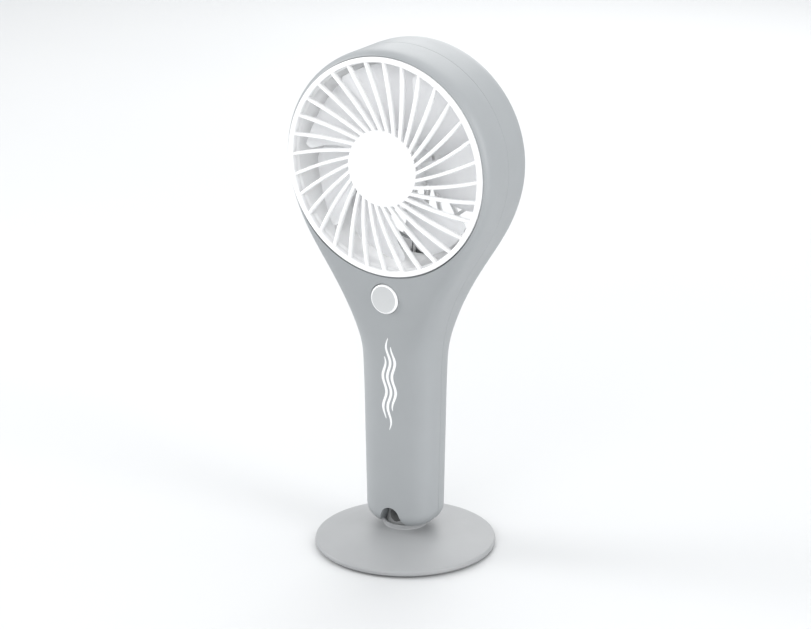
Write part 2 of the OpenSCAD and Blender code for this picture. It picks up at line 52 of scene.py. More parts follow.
MM = 0.001
SHELL_LOW, SHELL_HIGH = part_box("front_shell")
STAND_LOW, STAND_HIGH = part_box("stand_base")
FOOT = SHELL_LOW[2] / MM                                # height of the bottom of the handle
HEAD_R = (SHELL_HIGH[0] - SHELL_LOW[0]) / MM / 2
HEAD_H = (SHELL_HIGH[2] - SHELL_LOW[2]) / MM - HEAD_R   # middle of the head above the handle's bottom
PAST = 30.0                                             # a depth that is well outside the casing

# outline from the front, and sections
GRIP_W = 16.8                                   # half width of the handle just above its bottom
GRIP_TOP = (18.3, 74.0)                         # half width and height where the neck ends in the handle
LEAVE_ANGLE = 12.0                              # how far below its middle the head's circle ends
NECK_PULL, GRIP_PULL, GRIP_LEAN = 30.0, 40.0, 0.8       # pulls of the neck's curve at its two ends
CORNER_R, SOLE_R = 8.0, 6.0                     # rounding of the bottom from the front and from the side
HEAD_HALF, GRIP_HALF = 19.0, 13.5               # half depths
DEEPEN_FROM, DEEPEN_OVER = 60.0, 75.0           # heights over which the depth grows towards the head
HEAD_POWER, GRIP_POWER = 10.0, 2.6              # squareness of the sections
SQUARE_FROM, SQUARE_OVER = 78.0, 60.0           # heights over which the sections become square
WALL = 2.0

# seats and openings in the casing
SEAT_Y, SEAT_R, SEAT_MOUTH = 15.4, 47.45, 17.3          # front grille's seat, and where it meets the skin
REAR_SEAT_Y, REAR_SEAT_R, REAR_MOUTH = 16.2, 43.2, 18.5
LEDGE, REAR_LEDGE = 2.0, 1.6                            # thicknesses of the ledges behind the grilles
REAR_OPEN_R = 41.0
DUCT_R, DUCT_WALL = 44.5, 1.5
LINER_WAY_R = DUCT_R + DUCT_WALL + 0.1                  # hole in the front ledge for the white liner
BUTTON_H, BUTTON_R, BUTTON_GAP = 107.0, 6.6, 0.2
GUIDE_R, GUIDE_FRONT, GUIDE_BACK = BUTTON_R + 1.7, -16.2, -11.0
USB_H = 98.0
USB_HALF_W, USB_HALF_H, USB_WALL = 4.47, 1.63, 0.3
USB_WAY, USB_FLARE = (4.7, 1.85), (5.3, 2.45)           # half sizes of the opening and of its chamfer
HOLE_H, HOLE_R = 4.0, 2.7                               # lanyard hole
NOTCH_R, NOTCH_HALF, NOTCH_WALL = 4.6, 7.5, 1.5         # arch of the notch, half width at the bottom, wall
NOTCH_WALL_REACH = 12.5
DOOR_LOW, DOOR_HIGH, DOOR_HALF, DOOR_GAP = 15.2, 74.0, 14.6, 0.25
BOSSES = ((22.5, 117.0, 17.0), (-22.5, 117.0, 17.0), (11.5, 9.5, 7.6), (-11.5, 9.5, 7.6))   # x, h, reach
BOSS_R, SHANK_WAY_R = 3.5, 1.15
SCREW_HEAD_R, SCREW_SEAT = 2.0, 5.0
POST_R, POST_X, POST_H = 1.5, 8.5, (93.0, 113.0)        # posts that hold the circuit board
BOARD_Y = 2.2                                           # back of the circuit board


# ---- shape of the casing ----

def mix(a, b, t):
    """Value at the share t of the way from a to b."""
    return a + (b - a) * t


def smooth(t):
    """Share that starts and ends gently, held between 0 and 1."""
    u = min(1.0, max(0.0, t))
    return u * u * (3.0 - 2.0 * u)


def bulge(u, n):
    """Superellipse: 1 in the middle, 0 where u is 1, and squarer for a larger n."""
    return max(0.0, 1.0 - min(1.0, abs(u)) ** n) ** (1.0 / n)


def half_depth(h):
    """Half depth of the casing at height h."""
    return mix(GRIP_HALF, HEAD_HALF, smooth((h - DEEPEN_FROM) / DEEPEN_OVER))


def squareness(h):
    """Power of the section's curve at height h."""
    return mix(GRIP_POWER, HEAD_POWER, smooth((h - SQUARE_FROM) / SQUARE_OVER))


def sole_cut(h):
    """How much the rounded bottom takes off the depth at height h."""
    if h >= SOLE_R:
        return 0.0
    return SOLE_R - math.sqrt(max(0.0, SOLE_R ** 2 - (SOLE_R - h) ** 2))


def arc_point(degrees, off):
    """Point of the head's circle, moved inwards by off."""
    a = math.radians(degrees)
    return ((HEAD_R - off) * math.cos(a), HEAD_H + (HEAD_R - off) * math.sin(a))


def neck_point(t, off):
    """Point of the curve from the head's circle to the handle, moved inwards by off."""
    a = math.radians(LEAVE_ANGLE)
    start = Vector(arc_point(-LEAVE_ANGLE, 0.0))
    end = Vector(GRIP_TOP)
    p = (start, start - NECK_PULL * Vector((math.sin(a), math.cos(a))),
         end + Vector((GRIP_LEAN, GRIP_PULL)), end)
    s = 1.0 - t
    place = s ** 3 * p[0] + 3 * s * s * t * p[1] + 3 * s * t * t * p[2] + t ** 3 * p[3]
    along = s * s * (p[1] - p[0]) + 2 * s * t * (p[2] - p[1]) + t * t * (p[3] - p[2])
    outward = Vector((-along.y, along.x)).normalized()
    return tuple(place - off * outward)


def outline(off, fine=1.0):
    """Half widths and heights of the casing from just under the top to the flat bottom."""
    arcs, necks, grips, corners = (int(n * fine) for n in (70, 44, 26, 14))
    rows = [arc_point(90.0 - (90.0 + LEAVE_ANGLE) * (k / arcs) ** 1.5, off) for k in range(1, arcs + 1)]
    rows += [neck_point(k / necks, off) for k in range(1, necks + 1)]
    for k in range(1, grips + 1):
        rows.append((mix(GRIP_TOP[0], GRIP_W, k / grips) - off, mix(GRIP_TOP[1], CORNER_R, k / grips)))
    for k in range(1, corners + 1):
        a = math.radians(-90.0 * k / corners)
        x = GRIP_W - CORNER_R + (CORNER_R - off) * math.cos(a)
        rows.append((x, CORNER_R + (CORNER_R - off) * math.sin(a)))
    return rows


def skin(u, w, h, off):
    """Depth of the casing's skin at the share u of its half width w, at height h."""
    d = half_depth(h) - off - sole_cut(h - off)
    r = math.hypot(w * u, h - HEAD_H) / (HEAD_R - off)
    t = smooth((h - HEAD_H) / (HEAD_R * math.sin(math.radians(LEAVE_ANGLE))) + 1.0)
    return d * mix(bulge(u, squareness(h)), bulge(r, HEAD_POWER), t)


def spread(k, count):
    """Share of the half width for column k; the columns lie closer towards the two edges."""
    s = math.sin(math.pi * k / count - math.pi / 2)
    return math.copysign(math.sqrt(abs(s)), s)


def width_at(h):
    """Half width of the casing at a height on the neck or the handle."""
    if h <= GRIP_TOP[1]:
        return mix(GRIP_W, GRIP_TOP[0], (h - CORNER_R) / (GRIP_TOP[1] - CORNER_R))
    low, high = 0.0, 1.0
    for _ in range(30):
        mid = (low + high) / 2
        if neck_point(mid, 0.0)[1] > h:
            low = mid
        else:
            high = mid
    return neck_point(low, 0.0)[0]


def surface_y(x, h):
    """Depth of the skin at a place on the neck or the handle."""
    w = width_at(h)
    return skin(x / w, w, h, 0.0)


# ---- mesh helpers ----

def new_object(name, verts, faces):
    """Object from points in millimetres, with z counted from the bottom of the handle."""
    mesh = bpy.data.meshes.new(name)
    mesh.from_pydata([(x * MM, y * MM, (z + FOOT) * MM) for x, y, z in verts], [], faces)
    obj = bpy.data.objects.new(name, mesh)
    bpy.context.scene.collection.objects.link(obj)
    tidy_mesh(obj)
    return obj


def tidy_mesh(obj, merge=1e-7):
    """Joins points that fall together, and turns all the faces outwards."""
    bm = bmesh.new()
    bm.from_mesh(obj.data)
    bmesh.ops.remove_doubles(bm, verts=bm.verts, dist=merge)
    bmesh.ops.dissolve_degenerate(bm, edges=bm.edges, dist=merge)
    bmesh.ops.recalc_face_normals(bm, faces=bm.faces)
    bm.to_mesh(obj.data)
    bm.free()


def bake_modifiers(obj):
    """Puts the result of the modifiers into the mesh."""
    graph = bpy.context.evaluated_depsgraph_get()
    mesh = bpy.data.meshes.new_from_object(obj.evaluated_get(graph))
    obj.modifiers.clear()
    obj.data = mesh


def combine(obj, tool, how):
    """Boolean of obj with tool, which is used up."""
    mod = obj.modifiers.new("combine", "BOOLEAN")
    mod.operation = how
    mod.object = tool
    mod.solver = "MANIFOLD"
    bake_modifiers(obj)
    bpy.data.objects.remove(tool)


def cut(obj, *tools):
    """Takes the tools away from obj, one after the other."""
    for tool in tools:
        combine(obj, tool, "DIFFERENCE")


def add(obj, *tools):
    """Joins the tools to obj, one after the other."""
    for tool in tools:
        combine(obj, tool, "UNION")


def gather(obj, more):
    """Union of what has been made so far with the next piece; the first piece starts it."""
    if obj is None:
        return more
    add(obj, more)
    return obj


def shade(obj, degrees=32.0):
    """Smooth shading with sharp edges above an angle."""
    for poly in obj.data.polygons:
        poly.use_smooth = True
    obj.data.set_sharp_from_angle(angle=math.radians(degrees))


def soften(obj, width=0.25, segments=2, degrees=32.0):
    """Rounds the sharp edges of a moulded or stamped piece."""
    mod = obj.modifiers.new("edges", "BEVEL")
    mod.width = width * MM
    mod.segments = segments
    mod.limit_method = "ANGLE"
    mod.angle_limit = math.radians(degrees)
    mod.harden_normals = False
    bake_modifiers(obj)


def lathe(name, profile, axis="y", x=0.0, h=0.0, segments=128, closed=True):
    """Turned solid from (radius, place) points; along z a place is a height above the table."""
    verts, faces, rings = [], [], []
    for r, t in profile:
        ring = []
        count = 1 if r < 1e-6 else segments
        for k in range(count):
            a = 2 * math.pi * k / segments
            ring.append(len(verts))
            if axis == "y":
                verts.append((x + r * math.sin(a), t, h + r * math.cos(a)))
            else:
                verts.append((x + r * math.cos(a), r * math.sin(a), t - FOOT))
        rings.append(ring)
    pairs = list(zip(rings, rings[1:]))
    if closed:
        pairs.append((rings[-1], rings[0]))
    for a, b in pairs:
        for k in range(segments):
            q = (k + 1) % segments
            if len(a) == 1 and len(b) == 1:
                break
            if len(a) == 1:
                faces.append((a[0], b[q], b[k]))
            elif len(b) == 1:
                faces.append((a[k], a[q], b[0]))
            else:
                faces.append((a[k], a[q], b[q], b[k]))
    return new_object(name, verts, faces)


def ring_y(name, r_out, r_in, y0, y1, h=HEAD_H, x=0.0, segments=192):
    """Ring along y, around the middle of the head unless another place is given."""
    return lathe(name, ((r_out, y0), (r_out, y1), (r_in, y1), (r_in, y0)), "y", x, h, segments)


def rod_y(name, r, y0, y1, x=0.0, h=HEAD_H, segments=96):
    """Round bar along y."""
    return lathe(name, ((0.0, y0), (r, y0), (r, y1), (0.0, y1)), "y", x, h, segments, closed=False)


def rounded(points, radius, steps=5):
    """Profile whose corners are rounded; points is an open list of (r, t)."""
    out = [points[0]]
    for before, here, after in zip(points, points[1:], points[2:]):
        p, q, s = Vector(before), Vector(here), Vector(after)
        reach = min(radius, (p - q).length * 0.45, (s - q).length * 0.45)
        a = q + (p - q).normalized() * reach
        b = q + (s - q).normalized() * reach
        for k in range(steps + 1):
            t = k / steps
            out.append(tuple((1 - t) ** 2 * a + 2 * t * (1 - t) * q + t * t * b))
    out.append(points[-1])
    return out


def loft(name, *lengths):
    """Object from lengths of rings of points: each ring is joined to the next, and the ends are closed."""
    verts, faces = [], []
    for rings in lengths:
        rows = []
        for ring in rings:
            rows.append(range(len(verts), len(verts) + len(ring)))
            verts += ring
        for a, b in zip(rows, rows[1:]):
            for k in range(len(a)):
                q = (k + 1) % len(a)
                faces.append((a[k], a[q], b[q], b[k]))
        faces += [tuple(reversed(rows[0])), tuple(rows[-1])]
    return new_object(name, verts, faces)


def sheet(name, n, m, point):
    """Closed sheet from two layers of n by m patches; point(i, j, layer) gives its corners."""
    verts, faces = [], []
    for layer in (0, 1):
        for i in range(n + 1):
            for j in range(m + 1):
                verts.append(point(i, j, layer))

    def at(i, j, layer):
        return (layer * (n + 1) + i) * (m + 1) + j

    for i in range(n):
        for j in range(m):
            faces.append((at(i, j, 0), at(i + 1, j, 0), at(i + 1, j + 1, 0), at(i, j + 1, 0)))
            faces.append((at(i, j, 1), at(i, j + 1, 1), at(i + 1, j + 1, 1), at(i + 1, j, 1)))
        faces.append((at(i, 0, 0), at(i, 0, 1), at(i + 1, 0, 1), at(i + 1, 0, 0)))
        faces.append((at(i, m, 0), at(i + 1, m, 0), at(i + 1, m, 1), at(i, m, 1)))
    for j in range(m):
        faces.append((at(0, j, 0), at(0, j + 1, 0), at(0, j + 1, 1), at(0, j, 1)))
        faces.append((at(n, j, 0), at(n, j, 1), at(n, j + 1, 1), at(n, j + 1, 0)))
    return new_object(name, verts, faces)


def slab_y(name, loop, y0, y1):
    """Prism along y from a loop of (x, h) points."""
    n = len(loop)
    verts = [(x, y0, z) for x, z in loop] + [(x, y1, z) for x, z in loop]
    faces = [tuple(range(n)), tuple(range(2 * n - 1, n - 1, -1))]
    faces += [(k, (k + 1) % n, n + (k + 1) % n, n + k) for k in range(n)]
    return new_object(name, verts, faces)


def box_mm(name, low, high):
    """Block between two corners in millimetres."""
    loop = ((low[0], low[2]), (high[0], low[2]), (high[0], high[2]), (low[0], high[2]))
    return slab_y(name, loop, low[1], high[1])


def arch_loop(grow, steps=24):
    """Outline of the notch in the bottom of the handle, made larger by grow."""
    r = NOTCH_R + grow
    loop = [(-NOTCH_HALF - grow, -1.0), (NOTCH_HALF + grow, -1.0)]
    for k in range(steps + 1):
        a = math.radians(mix(18.0, 162.0, k / steps))
        loop.append((r * math.cos(a), NOTCH_R + r * math.sin(a)))
    return loop


def slot_loop(half_w, half_h, h, steps=12):
    """Outline of a slot with round ends, centred at height h."""
    loop = []
    for side in (1, -1):
        for k in range(steps + 1):
            a = math.radians(-90.0 + 180.0 * k / steps + (0 if side > 0 else 180))
            loop.append((side * (half_w - half_h) + half_h * math.cos(a), h + half_h * math.sin(a)))
    return loop


# ---- materials ----

def node_material(name):
    """New material, with its node tree and its shader."""
    mat = bpy.data.materials.new(name)
    mat.use_nodes = True
    tree = mat.node_tree
    return mat, tree, tree.nodes["Principled BSDF"]


def link(tree, a, out, b, into):
    tree.links.new(a.outputs[out], b.inputs[into])


def noise(tree, coords, scale, detail=2.0, rough=0.5):
    """Noise in the object's own coordinates."""
    node = tree.nodes.new("ShaderNodeTexNoise")
    node.inputs["Scale"].default_value = scale
    node.inputs["Detail"].default_value = detail
    node.inputs["Roughness"].default_value = rough
    link(tree, coords, "Object", node, "Vector")
    return node


def bump(tree, bsdf, source, out, strength, distance):
    """Fine relief on the shader, from the source's value."""
    node = tree.nodes.new("ShaderNodeBump")
    node.inputs["Strength"].default_value = strength
    node.inputs["Distance"].default_value = distance
    link(tree, source, out, node, "Height")
    link(tree, node, "Normal", bsdf, "Normal")


def ramp(tree, source, out, low, high, pos=(0.35, 0.65)):
    """Colour that goes from low to high with the source's value."""
    node = tree.nodes.new("ShaderNodeValToRGB")
    node.color_ramp.elements[0].position = pos[0]
    node.color_ramp.elements[1].position = pos[1]
    node.color_ramp.elements[0].color = low
    node.color_ramp.elements[1].color = high
    link(tree, source, out, node, "Fac")
    return node


def span(tree, source, out, low, high):
    """Number that goes from low to high with the source's value."""
    node = tree.nodes.new("ShaderNodeMapRange")
    node.inputs["To Min"].default_value = low
    node.inputs["To Max"].default_value = high
    link(tree, source, out, node, "Value")
    return node


def tint(color, factor):
    """Colour made lighter or darker."""
    return tuple(min(1.0, c * factor) for c in color) + (1.0,)


def plastic(name, color, rough=0.4, grain=0.04, grain_scale=4200.0, mottling=0.03, coat=0.0):
    """Moulded plastic: faint mottling, slow changes in gloss, and the fine grain of the mould."""
    mat, tree, bsdf = node_material(name)
    coords = tree.nodes.new("ShaderNodeTexCoord")
    slow = noise(tree, coords, 60.0, 3.0)
    shades = ramp(tree, slow, "Fac", tint(color, 1.0 - mottling), tint(color, 1.0 + mottling))
    link(tree, shades, "Color", bsdf, "Base Color")
    smudge = noise(tree, coords, 140.0, 4.0, 0.6)
    gloss = span(tree, smudge, "Fac", rough * 0.85, rough * 1.2)
    link(tree, gloss, "Result", bsdf, "Roughness")
    fine = noise(tree, coords, grain_scale, 2.0)
    bump(tree, bsdf, fine, "Fac", grain, 0.00015)
    bsdf.inputs["Coat Weight"].default_value = coat
    bsdf.inputs["Coat Roughness"].default_value = 0.12
    return mat


def metal(name, color, rough=0.3, brushed=(1.0, 1.0, 1.0), strength=0.06):
    """Plated or drawn metal with fine marks that run along the axis with the smallest scale."""
    mat, tree, bsdf = node_material(name)
    bsdf.inputs["Metallic"].default_value = 1.0
    coords = tree.nodes.new("ShaderNodeTexCoord")
    mapping = tree.nodes.new("ShaderNodeMapping")
    mapping.inputs["Scale"].default_value = brushed
    link(tree, coords, "Object", mapping, "Vector")
    marks = tree.nodes.new("ShaderNodeTexNoise")
    marks.inputs["Scale"].default_value = 1500.0
    link(tree, mapping, "Vector", marks, "Vector")
    shades = ramp(tree, marks, "Fac", tint(color, 0.88), tint(color, 1.06))
    link(tree, shades, "Color", bsdf, "Base Color")
    gloss = span(tree, marks, "Fac", rough * 0.8, rough * 1.3)
    link(tree, gloss, "Result", bsdf, "Roughness")
    bump(tree, bsdf, marks, "Fac", strength, 0.0001)
    return mat


def foam(name, color):
    """Closed-cell foam: small dark cells, and no gloss."""
    mat, tree, bsdf = node_material(name)
    coords = tree.nodes.new("ShaderNodeTexCoord")
    cells = tree.nodes.new("ShaderNodeTexVoronoi")
    cells.inputs["Scale"].default_value = 2600.0
    link(tree, coords, "Object", cells, "Vector")
    shades = ramp(tree, cells, "Distance", tint(color, 0.6), tint(color, 1.5), (0.0, 0.6))
    link(tree, shades, "Color", bsdf, "Base Color")
    bump(tree, bsdf, cells, "Distance", 0.5, 0.0003)
    bsdf.inputs["Roughness"].default_value = 0.9
    return mat


def board_finish(name):
    """Green solder mask with faint copper tracks under it."""
    mat, tree, bsdf = node_material(name)
    coords = tree.nodes.new("ShaderNodeTexCoord")
    tracks = tree.nodes.new("ShaderNodeTexBrick")
    tracks.inputs["Scale"].default_value = 260.0
    tracks.inputs["Mortar Size"].default_value = 0.03
    tracks.inputs["Color1"].default_value = (0.012, 0.11, 0.045, 1.0)
    tracks.inputs["Color2"].default_value = (0.012, 0.12, 0.05, 1.0)
    tracks.inputs["Mortar"].default_value = (0.03, 0.22, 0.09, 1.0)
    turned = tree.nodes.new("ShaderNodeMapping")
    turned.inputs["Rotation"].default_value = (math.pi / 2, 0.0, 0.0)
    link(tree, coords, "Object", turned, "Vector")
    link(tree, turned, "Vector", tracks, "Vector")
    link(tree, tracks, "Color", bsdf, "Base Color")
    bsdf.inputs["Roughness"].default_value = 0.3
    bsdf.inputs["Coat Weight"].default_value = 0.4
    return mat


GREY = (0.318, 0.333, 0.343)
STAND_GREY = (0.325, 0.332, 0.338)
MATERIALS = {
    "grey_shell": plastic("grey_abs", GREY, rough=0.42, grain=0.1, mottling=0.012),
    "stand_grey": plastic("stand_abs", STAND_GREY, rough=0.45, grain=0.1, mottling=0.015),
    "white_grille": plastic("white_abs", (0.90, 0.902, 0.905), rough=0.25, grain=0.02, mottling=0.006),
    "button_cap": plastic("button_cap", (0.53, 0.54, 0.545),
                          rough=0.22, grain=0.01, mottling=0.01, coat=0.3),
    # white band on the button cap's rounded edge: a painted highlight where the light catches the edge
    "button_edge_highlight": plastic("button_edge_highlight", (0.88, 0.885, 0.89),
                           rough=0.2, grain=0.0, mottling=0.005, coat=0.3),
    "white_blade": plastic("blade_abs", (0.87, 0.875, 0.885), rough=0.3, grain=0.02, mottling=0.01),
    "dark_plastic": plastic("dark_abs", (0.15, 0.153, 0.155), rough=0.5, grain=0.12),
    # anchor finish: the web's and the plug's own dark grey, lightened as painted fill light that makes up
    # for the shade in the notch's recess
    "anchor": plastic("anchor_abs_painted_fill", (0.26, 0.265, 0.267), rough=0.5, grain=0.12),
    "rubber": plastic("rubber", (0.03, 0.03, 0.032), rough=0.8, grain=0.3, grain_scale=2500.0),
    "screw_steel": metal("zinc_plate", (0.62, 0.62, 0.63), 0.28),
    "motor_steel": metal("drawn_steel", (0.66, 0.67, 0.68), 0.22, (1.0, 14.0, 1.0)),
    "magnet": plastic("ferrite", (0.05, 0.05, 0.055), rough=0.65, grain=0.4, grain_scale=3000.0),
    "bronze": metal("bronze", (0.62, 0.43, 0.2), 0.35),
    "winding": metal("copper_wire", (0.62, 0.24, 0.1), 0.3, (1.0, 12.0, 1.0), 0.3),
    "board_green": board_finish("solder_mask"),
    "spring_steel": metal("nickel_wire", (0.72, 0.71, 0.68), 0.2),
    "cell_sleeve": plastic("cell_sleeve", (0.03, 0.13, 0.3), rough=0.25, grain=0.03, coat=0.5),
    "wire_white": plastic("white_pvc", (0.82, 0.82, 0.81), rough=0.4, grain=0.05),
    "wire_black": plastic("black_pvc", (0.02, 0.02, 0.022), rough=0.4, grain=0.05),
    "foam": foam("eva_foam", (0.04, 0.04, 0.042)),
    "print": plastic("white_print", (0.86, 0.865, 0.87), rough=0.35, grain=0.05, mottling=0.01),
}


def dress(obj, slot, body, *nodes, finish=None):
    """Gives a new piece its finish, its body and the CAD nodes that it stands for."""
    obj.data.materials.clear()
    obj.data.materials.append(MATERIALS[finish or slot])
    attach(obj, body)
    if nodes:
        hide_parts(*nodes)
    return obj


# ---- casing ----

COLUMNS = 112
SEAM = 0.16         # chamfer of the parting edge


def stitch(faces, a, b):
    """Adds the faces between two open rows of points."""
    for k in range(len(a) - 1):
        faces.append((a[k], a[k + 1], b[k + 1], b[k]))


def casing_half(name, side):
    """Hollow half of the casing; chamfered edges make a fine groove where the two halves meet."""
    top = HEAD_H + HEAD_R
    outer = [(0.0, top)] + outline(0.0)
    lip = [(0.0, top - SEAM)] + outline(SEAM)
    inner = [(0.0, top - WALL)] + outline(WALL)
    verts, faces, rows = [], [], []

    def put(point):
        verts.append(point)
        return len(verts) - 1

    for (w, h), (lw, lh), (iw, ih) in zip(outer, lip, inner):
        chain = [put((-lw, 0.0, lh))]
        back = []
        for k in range(COLUMNS + 1):
            u = spread(k, COLUMNS)
            edge = k % COLUMNS == 0
            depth = 0.0 if edge else skin(u, w, h, 0.0)
            chain.append(put((w * u, side * max(depth, SEAM), h)))
            back.append(put((iw * u, 0.0 if edge else side * skin(u, iw, ih, WALL), ih)))
        chain.append(put((lw, 0.0, lh)))
        rows.append((chain, back))
    for (chain, back), (chain2, back2) in zip(rows, rows[1:]):
        stitch(faces, chain, chain2)
        stitch(faces, back2, back)
        faces.append((chain[0], chain2[0], back2[0], back[0]))
        faces.append((chain2[-1], chain[-1], back[-1], back2[-1]))
    chain, back = rows[-1]
    faces.append(tuple(chain[1:-1]))
    faces.append((chain[0], chain[1], chain[-2], chain[-1]))
    faces.append(tuple(back[::-1]))
    faces.append((chain[0], chain[-1], back[-1], back[0]))
    return new_object(name, verts, faces)


def solid_half(name, side, off):
    """The casing's half as a solid block, a little smaller than the outside."""
    top = HEAD_H + HEAD_R - off
    count = 48
    verts, faces, rows = [], [], []
    for w, h in [(0.0, top)] + outline(off, 0.6):
        row = []
        for k in range(count + 1):
            u = spread(k, count)
            depth = 0.0 if k % count == 0 else skin(u, w, h, off)
            verts.append((w * u, side * depth, h))
            row.append(len(verts) - 1)
        rows.append(row)
    for a, b in zip(rows, rows[1:]):
        stitch(faces, a, b)
        faces.append((b[-1], a[-1], a[0], b[0]))
    faces.append(tuple(rows[-1]))
    return new_object(name, verts, faces)


def notch_wall(name, side):
    """Wall around the notch, up to just under the skin."""
    reach = side * NOTCH_WALL_REACH
    wall = slab_y(name, arch_loop(NOTCH_WALL), min(0.0, reach), max(0.0, reach))
    combine(wall, solid_half("limit", side, 0.25), "INTERSECT")
    return wall


def hole_cutter(name, r, mouth, side, x=0.0, h=0.0, chamfer=0.35, low=0.0, segments=96):
    """Round cutter along y whose mouth is chamfered where it meets the skin at the depth mouth."""
    wide = r + 2 * chamfer
    profile = ((0.0, side * low), (r, side * low), (r, side * (mouth - chamfer)),
               (wide, side * (mouth + chamfer)), (wide, side * PAST), (0.0, side * PAST))
    return lathe(name, profile, "y", x, h, segments, closed=False)


def front_casing():
    """Front half with the grille's seat, the button's guide and the notch."""
    obj = casing_half("front_casing", -1)
    button_way_r = BUTTON_R + BUTTON_GAP
    add(obj,
        ring_y("ledge", HEAD_R - WALL, LINER_WAY_R, -SEAT_Y, -SEAT_Y + LEDGE),
        ring_y("guide", GUIDE_R, button_way_r, GUIDE_FRONT, GUIDE_BACK, BUTTON_H, segments=96),
        notch_wall("notch_wall", -1))
    cut(obj,
        hole_cutter("seat", SEAT_R, SEAT_MOUTH, -1, 0.0, HEAD_H, 0.25, SEAT_Y, 256),
        hole_cutter("button_hole", button_way_r, half_depth(BUTTON_H), -1, 0.0, BUTTON_H, 0.15, 10.0),
        slab_y("notch", arch_loop(0.0), -PAST, 1.0))
    shade(obj)
    return dress(obj, "grey_shell", "fan", "front_shell")


def rear_casing():
    """Rear half with the grille's seat, the screw bosses, the board's posts and the openings."""
    obj = casing_half("rear_casing", 1)
    add(obj,
        ring_y("ledge", DUCT_R + DUCT_WALL, REAR_OPEN_R, REAR_SEAT_Y - REAR_LEDGE, REAR_SEAT_Y),
        notch_wall("notch_wall", 1))
    for x, h, reach in BOSSES:
        add(obj, rod_y("boss", BOSS_R, 0.0, reach, x, h, 48))
    for x in (-POST_X, POST_X):
        for h in POST_H:
            add(obj, rod_y("post", POST_R, BOARD_Y, half_depth(h) - 1.2, x, h, 32))
    cut(obj,
        hole_cutter("seat", REAR_SEAT_R, REAR_MOUTH, 1, 0.0, HEAD_H, 0.25, REAR_SEAT_Y, 256),
        rod_y("opening", REAR_OPEN_R, -1.0, PAST, segments=192),
        box_mm("door_way", (-DOOR_HALF, 3.0, DOOR_LOW), (DOOR_HALF, PAST, DOOR_HIGH)),
        slab_y("usb_way", slot_loop(*USB_WAY, USB_H), 8.0, PAST),
        slab_y("usb_flare", slot_loop(*USB_FLARE, USB_H), half_depth(USB_H) - 0.45, PAST),
        slab_y("notch", arch_loop(0.0), -1.0, PAST))
    for x, h, _ in BOSSES:
        cut(obj,
            rod_y("shank_way", SHANK_WAY_R, -1.0, 10.0, x, h, 32),
            rod_y("head_way", SCREW_HEAD_R + 0.3, SCREW_SEAT, PAST, x, h, 48))
    shade(obj)
    return dress(obj, "grey_shell", "fan", "rear_shell")


STROKES = ((-2.3, 51.0, 80.0), (0.0, 46.0, 89.0), (2.3, 55.0, 85.0))    # x, lower and upper end
WAVE, WAVE_LENGTH, WAVE_FROM = 0.85, 14.0, 46.0
STROKE_HALF, STROKE_END = 0.62, 0.03                                    # half widths
INK_UNDER, INK_OVER = -0.08, 0.05                                       # below and above the skin


def stroke(x0, low, high, steps=90):
    """Rings of one wavy stroke that tapers at both ends."""
    rings = []
    for k in range(steps + 1):
        t = k / steps
        h = mix(low, high, t)
        x = x0 + WAVE * math.sin(2 * math.pi * (h - WAVE_FROM) / WAVE_LENGTH)
        half = STROKE_HALF * min(1.0, (4.5 * t) ** 0.5, (4.5 * (1.0 - t)) ** 0.5) + STROKE_END
        corners = ((-half, INK_UNDER), (-half, INK_OVER), (half, INK_OVER), (half, INK_UNDER))
        rings.append([(x + dx, -(surface_y(x + dx, h) + lift), h) for dx, lift in corners])
    return rings


def print_mark():
    """White breeze mark printed up the handle: three wavy strokes of different lengths."""
    obj = loft("print_mark", *(stroke(*place) for place in STROKES))
    shade(obj)
    return dress(obj, "white_grille", "fan", finish="print")


# ---- grilles ----

RIB_COUNT = 32
RIB_MISS, RIB_BOW, RIB_HALF = 8.5, 0.9, 0.7     # how far a rib misses the middle, its bow and half width
RIB_IN, RIB_OUT = 10.0, 45.8
RIB_FRONT, RIB_FRONT_FALL = 4.8, 2.2            # front edge at the hub, ahead of the seat, and its fall
RIB_BACK, RIB_BACK_FALL = 2.8, 2.1


def swirl_rib(index, steps=22):
    """One rib: it runs past the middle of the head, and its rounded front edge rises towards the hub."""
    turn = 2 * math.pi * index / RIB_COUNT
    rings = []
    for k in range(steps + 1):
        t = k / steps
        s = mix(RIB_IN, RIB_OUT, t)
        front = SEAT_Y + RIB_FRONT - RIB_FRONT_FALL * t * t
        back = SEAT_Y + RIB_BACK - RIB_BACK_FALL * t ** 1.3
        bow = RIB_BOW * math.sin(math.pi * t)
        side = [(RIB_HALF, back), (RIB_HALF, front - 0.5), (RIB_HALF * 0.75, front - 0.16)]
        section = [(-dx, depth) for dx, depth in side] + [(0.0, front)] + side[::-1]
        ring = []
        for dx, depth in section:
            x = RIB_MISS + bow + dx
            rx = x * math.cos(turn) + s * math.sin(turn)
            rz = -x * math.sin(turn) + s * math.cos(turn)
            ring.append((rx, -depth, HEAD_H + rz))
        rings.append(ring)
    return loft("rib", rings)


def front_grille():
    """Rim, hub cap and swirled ribs in one moulding."""
    y = -SEAT_Y
    r_in, r_out, hub_r = 45.1, SEAT_R - 0.15, 16.5
    rim_y = y - 3.4
    rim = rounded([(r_in, y - 1.0), (r_in, rim_y), (r_out, rim_y), (r_out, y), (r_in, y)], 0.7)
    obj = lathe("front_grille_ring", rim, "y", 0.0, HEAD_H, 256)
    cap = [(0.0, y - 5.3), (9.0, y - 5.22), (14.0, y - 5.0), (hub_r, y - 4.5), (hub_r, y - 2.7),
           (0.0, y - 2.7)]
    add(obj, lathe("cap", rounded(cap, 0.9), "y", 0.0, HEAD_H, 192, closed=False))
    for k in range(RIB_COUNT):
        add(obj, swirl_rib(k))
    shade(obj)
    obj.name = "front_grille_swirl"
    return dress(obj, "white_grille", "fan", "front_grille")


